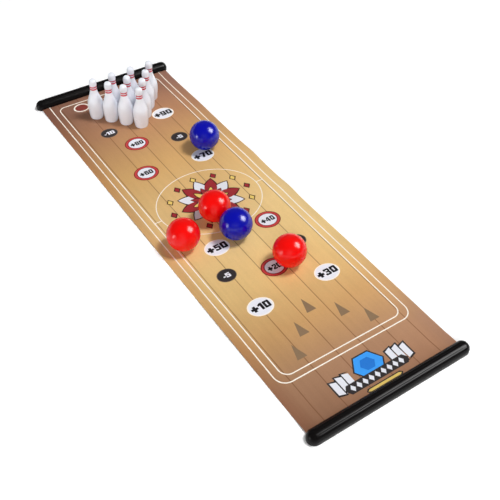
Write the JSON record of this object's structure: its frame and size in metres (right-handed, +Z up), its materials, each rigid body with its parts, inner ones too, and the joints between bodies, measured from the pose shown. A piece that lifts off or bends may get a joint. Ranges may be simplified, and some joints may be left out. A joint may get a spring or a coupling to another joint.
{
  "type": "tabletop bowling game",
  "caption": "Roll-out printed bowling lane held between two round-ended clamping bars, with a rack of banded pins and a set of glossy balls.",
  "frame": {"origin": "middle of the lane on the surface that the game lies on", "axes": "+Y along the lane from the player's end to the pins, +X to the player's right, +Z up"},
  "size_m": [0.295, 0.9262, 0.0863],
  "materials": {
    "printed_mat": "satin printed vinyl sheet, wood plank print with white lines and numbered scoring discs",
    "bar_black": "glossy moulded black plastic",
    "screw_steel": "zinc plated steel",
    "pin_white": "glossy moulded white plastic with two red bands at the neck",
    "plug_white": "plain moulded plastic",
    "red_ball": "high gloss red plastic",
    "blue_ball": "high gloss blue plastic"
  },
  "bodies": {
    "lane": {"play_mat": "printed_mat", "near_bar_upper_shell": "bar_black", "near_bar_lower_shell": "bar_black", "near_bar_screw_1": "screw_steel", "near_bar_screw_2": "screw_steel", "near_bar_screw_3": "screw_steel", "near_bar_screw_4": "screw_steel", "far_bar_upper_shell": "bar_black", "far_bar_lower_shell": "bar_black", "far_bar_screw_1": "screw_steel", "far_bar_screw_2": "screw_steel", "far_bar_screw_3": "screw_steel", "far_bar_screw_4": "screw_steel"},
    "pin_1": {"pin_1_body": "pin_white", "pin_1_base_plug": "plug_white"},
    "pin_2": {"pin_2_body": "pin_white", "pin_2_base_plug": "plug_white"},
    "pin_3": {"pin_3_body": "pin_white", "pin_3_base_plug": "plug_white"},
    "pin_4": {"pin_4_body": "pin_white", "pin_4_base_plug": "plug_white"},
    "pin_5": {"pin_5_body": "pin_white", "pin_5_base_plug": "plug_white"},
    "pin_6": {"pin_6_body": "pin_white", "pin_6_base_plug": "plug_white"},
    "pin_7": {"pin_7_body": "pin_white", "pin_7_base_plug": "plug_white"},
    "pin_8": {"pin_8_body": "pin_white", "pin_8_base_plug": "plug_white"},
    "pin_9": {"pin_9_body": "pin_white", "pin_9_base_plug": "plug_white"},
    "pin_10": {"pin_10_body": "pin_white", "pin_10_base_plug": "plug_white"},
    "red_ball_1": {"red_ball_1_upper_shell": "red_ball", "red_ball_1_lower_shell": "red_ball"},
    "red_ball_2": {"red_ball_2_upper_shell": "red_ball", "red_ball_2_lower_shell": "red_ball"},
    "red_ball_3": {"red_ball_3_upper_shell": "red_ball", "red_ball_3_lower_shell": "red_ball"},
    "blue_ball_1": {"blue_ball_1_upper_shell": "blue_ball", "blue_ball_1_lower_shell": "blue_ball"},
    "blue_ball_2": {"blue_ball_2_upper_shell": "blue_ball", "blue_ball_2_lower_shell": "blue_ball"}
  },
  "joints": [
    {"name": "pin_1_lift", "type": "slide", "parent": "lane", "child": "pin_1", "axis": [0, 0, 1], "range_m": [0, 0.11]},
    {"name": "pin_2_lift", "type": "slide", "parent": "lane", "child": "pin_2", "axis": [0, 0, 1], "range_m": [0, 0.11]},
    {"name": "pin_3_lift", "type": "slide", "parent": "lane", "child": "pin_3", "axis": [0, 0, 1], "range_m": [0, 0.11]},
    {"name": "pin_4_lift", "type": "slide", "parent": "lane", "child": "pin_4", "axis": [0, 0, 1], "range_m": [0, 0.11]},
    {"name": "pin_5_lift", "type": "slide", "parent": "lane", "child": "pin_5", "axis": [0, 0, 1], "range_m": [0, 0.11]},
    {"name": "pin_6_lift", "type": "slide", "parent": "lane", "child": "pin_6", "axis": [0, 0, 1], "range_m": [0, 0.11]},
    {"name": "pin_7_lift", "type": "slide", "parent": "lane", "child": "pin_7", "axis": [0, 0, 1], "range_m": [0, 0.11]},
    {"name": "pin_8_lift", "type": "slide", "parent": "lane", "child": "pin_8", "axis": [0, 0, 1], "range_m": [0, 0.11]},
    {"name": "pin_9_lift", "type": "slide", "parent": "lane", "child": "pin_9", "axis": [0, 0, 1], "range_m": [0, 0.11]},
    {"name": "pin_10_lift", "type": "slide", "parent": "lane", "child": "pin_10", "axis": [0, 0, 1], "range_m": [0, 0.11]},
    {"name": "red_ball_1_travel", "type": "slide", "parent": "lane", "child": "red_ball_1", "axis": [0, 1, 0], "range_m": [-0.36, 0.38]},
    {"name": "red_ball_2_travel", "type": "slide", "parent": "lane", "child": "red_ball_2", "axis": [0, 1, 0], "range_m": [0, 0.262]},
    {"name": "red_ball_3_travel", "type": "slide", "parent": "lane", "child": "red_ball_3", "axis": [0, 1, 0], "range_m": [-0.236, 0.034]},
    {"name": "blue_ball_1_travel", "type": "slide", "parent": "lane", "child": "blue_ball_1", "axis": [0, 1, 0], "range_m": [-0.262, 0.136]},
    {"name": "blue_ball_2_travel", "type": "slide", "parent": "lane", "child": "blue_ball_2", "axis": [0, 1, 0], "range_m": [-0.02, 0]}
  ]
}
